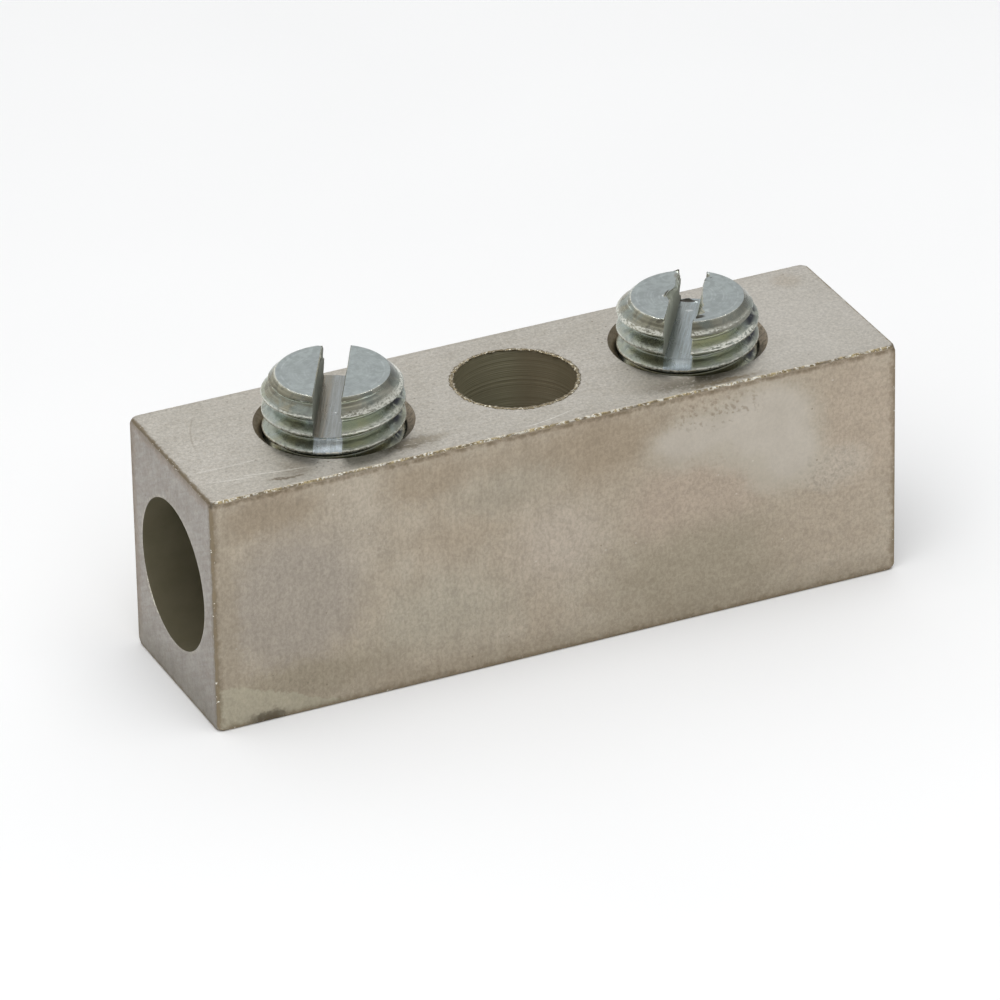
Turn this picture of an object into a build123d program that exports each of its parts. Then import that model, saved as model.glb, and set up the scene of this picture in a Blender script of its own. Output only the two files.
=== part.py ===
from build123d import *
import math
import os

# A splice connector for heavy electrical wire: a plated aluminium bar with one wire bore along it.
# A stripped wire goes in at each end, and a slotted set screw above each clamps it down.
# Millimetres. X runs along the bar, Z is up, and the origin is the middle of the bottom face.

# The bar
block_length = 82.5
block_depth = 22.6
block_height = 28.3
edge_round = 0.35
corner_cut = 0.8  # how far along each edge the tumbled corners are worn back
corner_round = 0.58  # of the edges of that cut, which leaves the corner a soft knob

# The wire bore, drilled through from end to end
wire_bore_diameter = 17.3

# The row of holes drilled down into it
hole_row_offset = 0.3  # the row sits this far behind the bar's middle plane
screw_inset = 19.85  # of each screw's axis from its own end of the bar
screw_pair_shift = -0.18  # both screw holes were drilled this far to the left
inspection_hole_shift = 0.16  # and the hole between them this far to the right
inspection_hole_diameter = 13.9

# The set screws
thread_major_diameter = 15.875
running_clearance = 0.06
countersink_diameter = 17.8
countersink_angle = 90
screw_length = 10.8
screw_face_diameter = 12.6  # the flat ends inside the 45 degree chamfers
slot_width = 3.1
slot_depth = 4.35
slot_edge_break = 0.12
left_screw_rise = 6.1  # top face above the bar
right_screw_rise = 5.4
left_slot_turn = 28.5  # degrees clockwise from +Y, seen from above
right_slot_turn = 33.3

wire_bore_height = block_height / 2  # its axis runs through the middle of the end faces
screw_spacing = block_length - 2 * screw_inset
screw_radius = thread_major_diameter / 2
screw_hole_radius = screw_radius + running_clearance
top_drilling_depth = block_height - wire_bore_height

os.makedirs("parts", exist_ok=True)

# The connector block: sawn bar, tumbled corners, then the drilled holes
with BuildPart() as connector_block:
    with BuildSketch(Plane.XY):
        Rectangle(block_length, block_depth)
    extrude(amount=block_height)

    # Each corner is worn back to a small facet that faces away from the middle of the bar
    for corner in connector_block.vertices():
        outward = Vector(
            math.copysign(1, corner.X),
            math.copysign(1, corner.Y),
            math.copysign(1, corner.Z - block_height / 2),
        )
        facet_point = Vector(*corner) - outward * (corner_cut / 3)
        split(bisect_by=Plane(origin=facet_point, z_dir=outward), keep=Keep.BOTTOM)
    facet_edges = connector_block.edges().filter_by(lambda edge: edge.length < 2 * corner_cut)
    fillet(facet_edges, radius=corner_round)
    long_edges = connector_block.edges().filter_by(lambda edge: edge.length > block_depth / 2)
    fillet(long_edges, radius=edge_round)

    with Locations(Plane(origin=(0, 0, wire_bore_height), z_dir=(1, 0, 0))):
        Hole(radius=wire_bore_diameter / 2)

    with Locations(Plane(origin=(inspection_hole_shift, hole_row_offset, block_height))):
        Hole(radius=inspection_hole_diameter / 2, depth=top_drilling_depth)
    with Locations(Plane(origin=(screw_pair_shift, hole_row_offset, block_height))):
        with GridLocations(screw_spacing, 0, 2, 1):
            CounterSinkHole(
                radius=screw_hole_radius,
                counter_sink_radius=countersink_diameter / 2,
                depth=top_drilling_depth,
                counter_sink_angle=countersink_angle,
            )

connector_block.part.label = "connector_block"
export_step(connector_block.part, "parts/connector_block.step")


def set_screw(centre_x, rise, slot_turn):
    """A slotted set screw of full thread diameter, its top face `rise` above the bar."""
    top_z = block_height + rise
    tip_z = top_z - screw_length
    end_chamfer = screw_radius - screw_face_diameter / 2
    axis = Axis((centre_x, hole_row_offset, 0), (0, 0, 1))
    profile_plane = Plane(origin=(centre_x, hole_row_offset, tip_z), x_dir=(1, 0, 0), z_dir=(0, -1, 0))
    turn = math.radians(slot_turn)
    slot_plane = Plane(
        origin=(centre_x, hole_row_offset, top_z),
        x_dir=(math.cos(turn), -math.sin(turn), 0),
        z_dir=(0, 0, 1),
    )

    with BuildPart() as screw:
        with BuildSketch(profile_plane):
            with BuildLine():
                Polyline(
                    (0, 0),
                    (screw_face_diameter / 2, 0),
                    (screw_radius, end_chamfer),
                    (screw_radius, screw_length - end_chamfer),
                    (screw_face_diameter / 2, screw_length),
                    (0, screw_length),
                    close=True,
                )
            make_face()
        revolve(axis=axis)

        with BuildSketch(slot_plane):
            Rectangle(slot_width, thread_major_diameter + slot_width)
        extrude(amount=-slot_depth, mode=Mode.SUBTRACT)
        top_edges = screw.faces().filter_by(Plane.XY).group_by(Axis.Z)[-1].edges()
        chamfer(top_edges.filter_by(GeomType.LINE), length=slot_edge_break)
    return screw


# The two set screws, one over each half of the wire bore
screws = {
    "left_set_screw": (screw_pair_shift - screw_spacing / 2, left_screw_rise, left_slot_turn),
    "right_set_screw": (screw_pair_shift + screw_spacing / 2, right_screw_rise, right_slot_turn),
}
for name, (centre_x, rise, slot_turn) in screws.items():
    screw = set_screw(centre_x, rise, slot_turn)
    screw.part.label = name
    export_step(screw.part, f"parts/{name}.step")
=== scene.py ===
# %% [markdown]
# # A set-screw wire splice connector
# The object is a short bar of tin-plated aluminium with a wire bore along it, and two slotted set screws that
# clamp the wires. The solids come from the CAD model, in metres, with X along the bar and Z up. This lesson dresses
# them: it builds the threads and the sawn slots as numpy surfaces, and the metal finishes as shader nodes.

import math

import bmesh
import bpy
import numpy as np
from mathutils import Matrix, Vector


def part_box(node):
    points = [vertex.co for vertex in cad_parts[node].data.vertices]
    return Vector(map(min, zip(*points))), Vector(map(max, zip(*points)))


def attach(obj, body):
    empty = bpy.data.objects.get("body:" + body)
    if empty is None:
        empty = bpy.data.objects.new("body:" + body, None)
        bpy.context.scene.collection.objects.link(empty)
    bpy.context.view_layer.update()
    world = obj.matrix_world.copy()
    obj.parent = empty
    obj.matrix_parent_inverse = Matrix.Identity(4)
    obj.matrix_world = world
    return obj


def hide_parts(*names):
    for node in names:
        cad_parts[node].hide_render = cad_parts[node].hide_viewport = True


MM = 0.001  # metres in a millimetre

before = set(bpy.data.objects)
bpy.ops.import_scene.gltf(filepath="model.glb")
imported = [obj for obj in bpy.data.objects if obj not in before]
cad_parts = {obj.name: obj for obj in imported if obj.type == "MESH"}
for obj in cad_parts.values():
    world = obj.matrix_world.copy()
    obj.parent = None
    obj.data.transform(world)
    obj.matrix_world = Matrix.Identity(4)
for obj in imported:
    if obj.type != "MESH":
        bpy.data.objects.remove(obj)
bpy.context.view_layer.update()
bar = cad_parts["connector_block"]
bar_low, bar_high = (np.array(corner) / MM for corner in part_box("connector_block"))
print("nodes", sorted(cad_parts), "bar in mm", bar_low.round(2), bar_high.round(2))

# %% [markdown]
# ## Camera
# The picture was taken with a long lens from nearly a metre away, so parallel edges hardly draw together. The camera
# stands to the left of the bar and looks down at it. Three angles give its direction, so they can be read and changed
# one by one, and the rotation is worked out from them.

# %% The camera
camera_place = Vector((-0.33802, -0.74576, 0.45653))
camera_azimuth = math.radians(24.25)  # from +Y towards +X
camera_drop = math.radians(28.423)
camera_roll = math.radians(-1.124)

forward = Vector(
    (
        math.sin(camera_azimuth) * math.cos(camera_drop),
        math.cos(camera_azimuth) * math.cos(camera_drop),
        -math.sin(camera_drop),
    )
)
level_right = Vector((math.cos(camera_azimuth), -math.sin(camera_azimuth), 0))
right = level_right * math.cos(camera_roll) + level_right.cross(forward) * math.sin(camera_roll)

camera_data = bpy.data.cameras.new("camera")
camera_data.lens, camera_data.sensor_width = 302.84, 36
camera_data.clip_start, camera_data.clip_end = 0.05, 20
camera = bpy.data.objects.new("camera", camera_data)
camera.matrix_world = Matrix.Translation(camera_place) @ (
    Matrix((right, right.cross(forward), -forward)).transposed().to_4x4()
)
bpy.context.scene.collection.objects.link(camera)
bpy.context.scene.camera = camera
print("camera", [round(x, 4) for x in camera.matrix_world.to_euler()])

# %% [markdown]
# ## Floor and light
# Metal shows what stands round it, so the room matters more than the lamps. The white floor is what the front of the
# bar and the crests of the threads mirror. A wide soft box lights that floor, and is hidden from mirror rays, so that
# it doesn't show up in the metal itself. The room is a quiet grey overhead and in front, which keeps the thread's
# flanks dark, and lighter low at the back, which is what the level faces mirror. One small bright box, high at the
# back, puts the glints on rounded edges and burrs.


# %% The floor and the soft boxes
def surface_mesh(name, vertices, faces):
    """A mesh object from an array of points and an array of four-cornered faces."""
    mesh = bpy.data.meshes.new(name)
    mesh.from_pydata(vertices.tolist(), [], faces.tolist())
    made = bpy.data.objects.new(name, mesh)
    bpy.context.scene.collection.objects.link(made)
    return made


def soft_box(name, place, aim, size, watts, colour):
    """A square area light at `place`, turned to face `aim`."""
    data = bpy.data.lights.new(name, "AREA")
    data.shape, data.size, data.energy, data.color = "SQUARE", size, watts, colour
    lamp = bpy.data.objects.new(name, data)
    lamp.matrix_world = Matrix.Translation(place) @ (
        (Vector(aim) - Vector(place)).to_track_quat("-Z", "Y").to_matrix().to_4x4()
    )
    bpy.context.scene.collection.objects.link(lamp)
    return lamp


floor_reach = 3.0
floor = surface_mesh(
    "floor",
    np.array([[-1, -1, 0], [1, -1, 0], [1, 1, 0], [-1, 1, 0]]) * floor_reach,
    np.array([[0, 1, 2, 3]]),
)

floor_box = soft_box("floor_box", (-0.2, -0.45, 1.0), (0, -0.1, 0), 1.4, 12.8, (1.0, 1.0, 1.0))
floor_box.visible_glossy = False
glint_box = soft_box("glint_box", (0.12, 0.5, 0.85), (0, 0, 0.02), 0.2, 1.5, (1.0, 0.99, 0.96))
glint_box.visible_diffuse = False

# %% The room
world = bpy.data.worlds.new("studio")
world.use_nodes = True
room_nodes = world.node_tree.nodes
direction = room_nodes.new("ShaderNodeTexCoord").outputs["Generated"]
low_back = room_nodes.new("ShaderNodeVectorMath")
low_back.operation = "DOT_PRODUCT"
low_back.inputs[1].default_value = (0.10, 0.86, 0.50)
brightness = room_nodes.new("ShaderNodeMapRange")
brightness.interpolation_type = "SMOOTHSTEP"
for socket, value in (("From Min", 0.15), ("From Max", 0.9), ("To Min", 0.34), ("To Max", 0.70)):
    brightness.inputs[socket].default_value = value
world.node_tree.links.new(direction, low_back.inputs[0])
world.node_tree.links.new(low_back.outputs["Value"], brightness.inputs["Value"])
world.node_tree.links.new(brightness.outputs[0], room_nodes["Background"].inputs["Strength"])
room_nodes["Background"].inputs["Color"].default_value = (0.98, 0.99, 1.0, 1)
bpy.context.scene.world = world
bpy.context.scene.view_settings.view_transform = "Standard"

# %% [markdown]
# ## A short way to write shader nodes
# A procedural material is a graph of small nodes. Writing each node with its links takes many lines, so this helper
# adds one node with its inputs in one call. An input is either a value or another node's output.


# %% Node helpers
def rgb(red, green, blue):
    """A colour given as 0 to 255 on a screen, turned into the linear colour that shaders use."""
    screen = np.array([red, green, blue]) / 255
    linear = np.where(screen <= 0.04045, screen / 12.92, ((screen + 0.055) / 1.055) ** 2.4)
    return (*linear.tolist(), 1.0)


class Graph:
    """Adds nodes to one node tree."""

    def __init__(self, tree):
        self.tree = tree

    def fill(self, inputs, values):
        """Fills sockets by key: a value is set, and an output is linked."""
        for key, value in values.items():
            if isinstance(value, bpy.types.NodeSocket):
                self.tree.links.new(value, inputs[key])
            else:
                inputs[key].default_value = value

    def add(self, kind, inputs=None, **settings):
        """A node with its settings, whose inputs are filled from values or outputs."""
        node = self.tree.nodes.new("ShaderNode" + kind)
        for name, value in settings.items():
            setattr(node, name, value)
        self.fill(node.inputs, inputs or {})
        return node

    def math(self, operation, *values):
        return self.add("Math", dict(enumerate(values)), operation=operation).outputs[0]

    def minus(self, first, second):
        return self.math("SUBTRACT", first, second)

    def times(self, first, *others):
        """The product of values or masks."""
        for other in others:
            first = self.math("MULTIPLY", first, other)
        return first

    def total(self, start, *terms):
        """The start plus value times factor for each term, given as (value, factor)."""
        for value, factor in terms:
            start = self.math("MULTIPLY_ADD", value, factor, start)
        return start

    def fade(self, value, start, end, low=0.0, high=1.0):
        """A smooth step: low before start, high after end."""
        inputs = {"Value": value, "From Min": start, "From Max": end, "To Min": low, "To Max": high}
        return self.add("MapRange", inputs, interpolation_type="SMOOTHSTEP").outputs[0]

    def vector(self, operation, *values, out=0):
        return self.add("VectorMath", dict(enumerate(values)), operation=operation).outputs[out]

    def scale(self, vector, factor):
        return self.add("VectorMath", {0: vector, "Scale": factor}, operation="SCALE").outputs[0]

    def parts(self, vector):
        """The x, y and z of a vector."""
        return self.add("SeparateXYZ", {0: vector}).outputs[:]

    def join(self, *values):
        return self.add("CombineXYZ", dict(enumerate(values))).outputs[0]

    def noise(self, vector, scale, detail=2.0, roughness=0.5, distortion=0.0, out=0):
        names = "Vector", "Scale", "Detail", "Roughness", "Distortion"
        return self.add("TexNoise", dict(zip(names, (vector, scale, detail, roughness, distortion)))).outputs[out]

    def mix(self, share, first, second, blend="MIX"):
        """A colour mix: `first` where share is 0, `second` where it is 1."""
        colour_inputs = {"Factor": share, 6: first, 7: second}
        return self.add("Mix", colour_inputs, data_type="RGBA", blend_type=blend).outputs[2]

    def layers(self, colour, *coats):
        """A colour with coats over it, from the lowest to the uppermost, each given as (share, its colour)."""
        for share, coat in coats:
            colour = self.mix(share, colour, coat)
        return colour

    def bump(self, height):
        """A normal for the shader, from a height in millimetres."""
        return self.add("Bump", {"Strength": 1.0, "Distance": MM, "Height": height}).outputs[0]

    def effect(self, group, **inputs):
        """A copy of a node group, its inputs given by name with _ for a space."""
        node = self.tree.nodes.new("ShaderNodeGroup")
        node.node_tree = group
        self.fill(node.inputs, {name.replace("_", " "): value for name, value in inputs.items()})
        return node.outputs

    def finish(self, last_node, **results):
        """Fills the inputs of the shader, or of a group's output, given by name with _ for a space."""
        self.fill(last_node.inputs, {name.replace("_", " "): value for name, value in results.items()})
        return self.tree


def new_effect(name, inputs, outputs):
    """An empty node group with named sockets, given as name: (kind, default). Gives its graph, inputs and end."""
    tree = bpy.data.node_groups.new(name, "ShaderNodeTree")
    for label, (kind, default) in inputs.items():
        socket = tree.interface.new_socket(label, in_out="INPUT", socket_type="NodeSocket" + kind)
        socket.default_value = default
    for label, kind in outputs.items():
        tree.interface.new_socket(label, in_out="OUTPUT", socket_type="NodeSocket" + kind)
    return Graph(tree), tree.nodes.new("NodeGroupInput").outputs, tree.nodes.new("NodeGroupOutput")


def new_material(name):
    """An empty material with a Principled BSDF and object coordinates in millimetres."""
    material = bpy.data.materials.new(name)
    material.use_nodes = True
    graph = Graph(material.node_tree)
    place = graph.scale(graph.add("TexCoord").outputs["Object"], 1 / MM)
    return material, graph, material.node_tree.nodes["Principled BSDF"], place


print("node helpers ready")

# %% [markdown]
# ## Finishes that both metals share
# Five effects come back on the bar and on the screws, so each is a node group: a soft stain of any size, the warp that
# bends the stains' borders, the dappled skin of a plated surface, the fine rings that a cutting tool leaves, and small
# pits. Each takes its place in millimetres and gives masks or heights, and the materials decide what those mean.

# %% Node groups
origin, grey = (0, 0, 0), (0.5, 0.5, 0.5)

# Stain: the distance from its middle, measured in its own half sizes, fades out near 1. Its border is bent by a warp.
graph, given, out = new_effect(
    "stain",
    {
        "Place": ("Vector", origin),
        "Warp": ("Vector", origin),
        "Middle": ("Vector", origin),
        "Half Size": ("Vector", (1, 1, 1)),
        "Softness": ("Float", 0.3),
        "Ragged": ("Float", 1.0),
    },
    {"Mask": "Float"},
)
shift = graph.vector("MULTIPLY", given["Warp"], given["Ragged"])
offset = graph.vector("SUBTRACT", graph.vector("ADD", given["Place"], shift), given["Middle"])
reach = graph.vector("LENGTH", graph.vector("DIVIDE", offset, given["Half Size"]), out=1)
inner = graph.minus(1.0, given["Softness"])
outer = graph.math("ADD", 1.0, given["Softness"])
stain = graph.finish(out, Mask=graph.fade(reach, inner, outer, 1.0, 0.0))

# Warp: a coarse and a fine noise, each a vector round zero, shared by all the stains of a material.
graph, given, out = new_effect("warp", {"Place": ("Vector", origin)}, {"Warp": "Vector"})
coarse = graph.vector("SUBTRACT", graph.noise(given["Place"], 0.42, 2.0, 0.5, out="Color"), grey)
fine = graph.vector("SUBTRACT", graph.noise(given["Place"], 1.9, 2.0, 0.6, out="Color"), grey)
warp = graph.finish(out, Warp=graph.vector("ADD", coarse, graph.vector("MULTIPLY", fine, (0.9, 0.9, 0.9))))

# Dapple: two sizes of noise, the larger bent by itself, like the skin of a tumbled and plated surface.
graph, given, out = new_effect(
    "dapple",
    {"Place": ("Vector", origin), "Grain": ("Float", 0.7)},
    {"Tone": "Float", "Height": "Float"},
)
per_mm = graph.math("DIVIDE", 1.0, given["Grain"])
coarse = graph.noise(given["Place"], per_mm, 2.0, 0.55, 0.6)
fine = graph.noise(given["Place"], graph.times(per_mm, 3.7), 2.0, 0.6)
blend = graph.math("ADD", graph.times(coarse, 0.68), graph.times(fine, 0.32))
dapple = graph.finish(out, Tone=graph.fade(blend, 0.36, 0.64), Height=blend)

# Tool rings: noise read along one length only, so it draws even rings of uneven strength.
graph, given, out = new_effect(
    "tool_rings",
    {"Travel": ("Float", 0.0), "Pitch": ("Float", 0.2), "Place": ("Vector", origin)},
    {"Tone": "Float"},
)
turns = graph.math("DIVIDE", given["Travel"], given["Pitch"])
wave = graph.math("SINE", graph.times(turns, 2 * math.pi))
uneven = graph.add("TexNoise", {"W": turns, "Scale": 0.8, "Detail": 3.0}, noise_dimensions="1D").outputs[0]
patchy = graph.fade(graph.noise(given["Place"], 0.35), 0.3, 0.7, 0.35, 1.3)
tone = graph.times(graph.minus(graph.total(uneven, (wave, 0.10)), 0.5), patchy)
tool_rings = graph.finish(out, Tone=graph.math("ADD", tone, 0.5))

# Pits: the middles of Voronoi cells, kept only where the red of the cell's own colour is low.
graph, given, out = new_effect(
    "pits",
    {
        "Place": ("Vector", origin),
        "Spacing": ("Float", 1.5),
        "Size": ("Float", 0.12),
        "Share": ("Float", 0.5),
    },
    {"Mask": "Float"},
)
density = graph.math("DIVIDE", 1.0, given["Spacing"])
cells = graph.add("TexVoronoi", {"Vector": given["Place"], "Scale": density}).outputs
away = graph.times(cells["Distance"], given["Spacing"])
red = graph.vector("DOT_PRODUCT", cells["Color"], (1, 0, 0), out=1)
chosen = graph.math("LESS_THAN", red, given["Share"])
spot = graph.fade(away, given["Size"], graph.times(given["Size"], 0.4))
pits = graph.finish(out, Mask=graph.times(spot, chosen))
print("node groups", [group.name for group in bpy.data.node_groups])

# %% [markdown]
# ## The plated bar
# The bar was sawn from rectangular stock, tumbled to knock off its corners, drilled, and tin-plated. Its skin is a
# warm pale grey with brownish haze, dapples, dried rinse marks and a brushed top. The CAD solid already has the right
# shape, so it only gets a material. Where the haze lies is set by distances that come from the shape itself: how far
# a point is from the nearest edge, and from the axis of each hole.

# %% Distances on the bar
screw_nodes = ("left_set_screw", "right_set_screw")
screw_place = {name: (np.array(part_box(name)[0]) + np.array(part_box(name)[1])) / 2 / MM for name in screw_nodes}
hole_row_y = float(screw_place["left_set_screw"][1])
screw_middle = float(screw_place["right_set_screw"][0] + screw_place["left_set_screw"][0]) / 2
screw_spacing = float(screw_place["right_set_screw"][0] - screw_place["left_set_screw"][0])
bar_left, bar_front, bar_top = float(bar_low[0]), float(bar_low[1]), float(bar_high[2])
half_bar = (bar_high - bar_low) / 2
bar_middle = (bar_high + bar_low) / 2
# The radii of the holes and the place of the inspection hole, as in the CAD model
wire_bore_radius, inspection_radius, screw_hole_radius, countersink_radius = 8.65, 6.95, 7.9975, 8.9
inspection_x = 0.16
print("hole row at y", round(hole_row_y, 3), "screws at x", screw_middle, "+-", round(screw_spacing / 2, 3))

plating, graph, shader, place = new_material("plated_aluminium")
x, y, z = graph.parts(place)
face_x, face_y, face_z = graph.parts(graph.add("TexCoord").outputs["Normal"])

# Distance to each pair of faces, and to the nearest edge: the middle one of the three
room = [
    graph.minus(float(half), graph.math("ABSOLUTE", graph.minus(along, float(middle))))
    for along, half, middle in zip((x, y, z), half_bar, bar_middle)
]
small = graph.math("MINIMUM", room[0], room[1])
large = graph.math("MAXIMUM", room[0], room[1])
edge_distance = graph.math("MAXIMUM", small, graph.math("MINIMUM", large, room[2]))


def from_axis(across, along):
    """Distance from an axis, by Pythagoras."""
    return graph.math("SQRT", graph.math("ADD", graph.times(across, across), graph.times(along, along)))


def beside_screws(x):
    """How far right of the middle between the screws a point is, and how far right of the nearer screw's axis."""
    from_middle = graph.minus(x, screw_middle)
    return from_middle, graph.minus(from_middle, graph.times(graph.math("SIGN", from_middle), screw_spacing / 2))


row_y = graph.minus(y, hole_row_y)
bore_z = graph.minus(z, float(bar_middle[2]))
bore_distance = from_axis(y, bore_z)
middle_hole_distance = from_axis(graph.minus(x, inspection_x), row_y)
screw_x = beside_screws(x)[1]
screw_hole_distance = from_axis(screw_x, row_y)

# %% [markdown]
# The walls of the holes are bare cut metal and darker. Each is found by its distance from its axis: a point on the
# wire bore is never further out than the bore's own radius, and a point on the outside never nearer.

# %% Masks for the cut walls
inside_end = graph.math("GREATER_THAN", room[0], 0.02)
bore_wall = graph.times(graph.fade(bore_distance, wire_bore_radius + 0.04, wire_bore_radius + 0.01), inside_end)
below_top = graph.math("LESS_THAN", z, bar_top - 0.02)
upper_half = graph.math("GREATER_THAN", z, float(bar_middle[2]) + 0.5)
in_top_holes = graph.times(below_top, upper_half, graph.minus(1.0, bore_wall))
middle_wall = graph.times(graph.math("LESS_THAN", middle_hole_distance, inspection_radius + 0.03), in_top_holes)
tapped_wall = graph.times(graph.math("LESS_THAN", screw_hole_distance, screw_hole_radius + 0.03), in_top_holes)
sunk_wall = graph.math("LESS_THAN", screw_hole_distance, countersink_radius - 0.01)
sunk_wall = graph.times(graph.minus(sunk_wall, tapped_wall), in_top_holes)
cut_walls = graph.math("MAXIMUM", graph.math("MAXIMUM", middle_wall, tapped_wall), bore_wall)
outside = graph.minus(1.0, cut_walls)

top_face = graph.fade(face_z, 0.75, 0.95)
end_face = graph.fade(graph.math("ABSOLUTE", face_x), 0.75, 0.95)
on_front = graph.math("LESS_THAN", face_y, -0.7)
print("cut walls found at radii", wire_bore_radius, inspection_radius, screw_hole_radius, countersink_radius)

# %% [markdown]
# The stains are listed by where they lie on the front of the bar, in millimetres from its lower left corner, and by
# how they look there. A metal's own colour is what is seen, divided by the light that its side mirrors, so each side
# has one number for that light. Large soft stains with ragged borders give the uneven tone, and one long band along
# the bottom edge is painted shade, where the bar meets the floor.

# %% The plating's colour
side_light = {"front": 0.83, "top": 0.88, "end": 1.03}
front_depth, top_depth = 2.6, 2.0  # how far a stain on a face reaches into the bar


def metal(side, red, green, blue):
    """The metal's own colour, where one side of the bar looks red, green, blue (0 to 255) in the studio."""
    own = np.array(rgb(red, green, blue)[:3]) / side_light[side]
    return (*np.minimum(own, 0.98).tolist(), 1.0)


def on_bar(right, back, up):
    """A place on the bar in mm, measured from its lower left corner at the front."""
    return bar_left + right, bar_front + back, up


def stain_mask(where, middle, half_size, softness, ragged):
    """The mask of one stain, with the warp of the material that is being made."""
    borders = {"Softness": softness, "Ragged": ragged}
    return graph.effect(stain, Place=where, Warp=bend, Middle=middle, Half_Size=half_size, **borders)["Mask"]


skin = graph.effect(dapple, Place=graph.vector("MULTIPLY", place, (1.0, 1.0, 0.72)), Grain=0.34)
cloud = graph.noise(place, 0.085, 3.0, 0.55, 0.4)
fine_cloud = graph.noise(place, 0.36, 3.0, 0.6, 0.3)
bend = graph.effect(warp, Place=place)["Warp"]
bend_x, bend_y, bend_z = graph.parts(bend)

colour = graph.layers(
    metal("front", 163, 152, 136),
    (graph.fade(cloud, 0.35, 0.65), metal("front", 167, 158, 143)),
    (graph.fade(fine_cloud, 0.35, 0.7, 0.0, 0.5), metal("front", 158, 147, 131)),
)
stains_and_floor_shade = [
    # right, up, half width, half height, softness, raggedness, how it looks, strength
    (24.5, 25.0, 5.0, 2.6, 0.6, 2.0, (150, 137, 119), 0.75),
    (36.0, 25.2, 7.0, 1.8, 0.6, 2.0, (153, 141, 124), 0.7),
    (47.0, 24.4, 7.0, 4.0, 0.6, 2.0, (151, 138, 120), 0.9),
    (6.5, 25.4, 5.4, 2.6, 0.5, 2.0, (147, 135, 118), 0.9),
    (30.0, 17.2, 4.5, 1.8, 0.6, 2.0, (160, 148, 131), 0.6),
    (35.0, 21.5, 6.0, 2.4, 0.7, 2.0, (154, 146, 131), 0.6),
    (27.0, 8.0, 8.0, 4.6, 0.7, 2.0, (163, 156, 141), 0.8),
    (41.0, 13.5, 5.0, 4.5, 0.7, 2.2, (172, 162, 149), 0.8),
    (58.0, 14.8, 8.5, 5.4, 0.4, 2.0, (165, 152, 137), 0.9),
    (58.0, 5.8, 11.0, 5.8, 0.55, 2.0, (151, 142, 125), 0.9),
    (78.0, 19.5, 5.5, 8.5, 0.5, 2.0, (167, 154, 138), 0.8),
    (75.0, 8.0, 8.0, 5.0, 0.6, 2.0, (163, 151, 135), 0.7),
    (17.0, 21.5, 4.0, 6.0, 0.6, 2.6, (168, 159, 145), 0.85),
    (9.4, 14.0, 7.8, 8.4, 0.35, 2.2, (154, 146, 135), 0.95),
    (11.0, 4.2, 10.0, 2.2, 0.6, 2.0, (145, 136, 119), 0.8),
    (1.4, 12.0, 1.6, 11.0, 0.6, 1.6, (147, 137, 121), 0.6),
    # painted shade: a dark band along the whole bottom edge, where the bar meets the floor
    (41.0, 0.0, 46.0, 2.0, 0.8, 1.6, (146, 136, 118), 0.55),
    (75.0, 15.0, 4.0, 2.6, 0.5, 2.0, (173, 164, 151), 0.8),
]
pale_patch = [
    (58.4, 22.2, 6.2, 3.4, 0.42, 1.3, (171, 164, 151), 0.75),
    (65.8, 22.0, 7.0, 5.4, 0.30, 1.3, (173, 166, 153), 0.8),
    (68.6, 17.6, 4.9, 4.4, 0.35, 1.3, (173, 166, 153), 0.8),
    (57.4, 22.6, 4.4, 2.1, 0.35, 1.0, (176, 169, 158), 0.8),
    (66.4, 22.6, 5.4, 3.8, 0.28, 1.0, (178, 171, 160), 0.85),
    (69.4, 18.2, 3.2, 3.2, 0.32, 1.0, (178, 171, 160), 0.8),
]
smooth_skin = 0.0
for group in (stains_and_floor_shade, pale_patch):
    for right_by, up, half_width, half_height, softness, ragged, looks, strength in group:
        half_size = (half_width, front_depth, half_height)
        mask = stain_mask(place, on_bar(right_by, 0, up), half_size, softness, ragged)
        colour = graph.mix(graph.times(mask, strength), colour, metal("front", *looks))
        if group is pale_patch:
            smooth_skin = graph.math("MAXIMUM", smooth_skin, mask)
print("stains on the front", len(stains_and_floor_shade) + len(pale_patch))

# %% [markdown]
# Two details of the front need their own shapes. A paler corner at the lower left ends at a slanted, ragged line, and
# the pale patch is crossed by rows of dark dots, where rinse water dried last. The dots are the middles of Voronoi
# cells, bent by the same warp as the stains.

# %% The paler corner and the dots
slanted = graph.total(z, (graph.minus(x, bar_left), 0.335), (bend_z, 1.5))
pale_corner = graph.times(graph.fade(slanted, 5.9, 5.5), on_front)
colour = graph.mix(graph.times(pale_corner, 0.8), colour, metal("front", 164, 158, 140))

dot_place = graph.vector("ADD", graph.join(graph.total(x, (z, 0.55)), 0.0, graph.times(z, 0.8)), bend)
cells = graph.add("TexVoronoi", {"Vector": dot_place, "Scale": 1.6, "Randomness": 1.0}).outputs["Distance"]
dots = graph.times(graph.fade(cells, 0.52, 0.18), on_front)
for right_by, up, half_width, half_height, looks, strength in (
    (60.2, 25.5, 5.4, 2.1, (134, 122, 107), 0.65),
    (74.5, 15.0, 3.8, 2.3, (150, 143, 131), 0.5),
    (71.5, 13.2, 3.0, 1.2, (152, 144, 132), 0.5),
    (58.5, 19.6, 4.5, 1.2, (158, 147, 134), 0.5),
    (19.5, 18.0, 1.6, 3.5, (148, 138, 124), 0.4),
):
    mask = stain_mask(place, on_bar(right_by, 0, up), (half_width, front_depth, half_height), 0.5, 1.0)
    colour = graph.mix(graph.times(mask, dots, strength), colour, metal("front", *looks))
smooth_skin = graph.math("MAXIMUM", graph.times(smooth_skin, on_front), graph.times(pale_corner, 0.4))
print("nodes so far", len(plating.node_tree.nodes))

# %% [markdown]
# The top was brushed along the bar. Noise that is squeezed across the brushing direction and stretched along it draws
# the fine lines. Grit lightens and darkens them, and dark specks gather round the countersinks. Single scratches are
# parts of large circles: the distance from the circle's line makes a thin mask, which a stain cuts to length.

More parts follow.
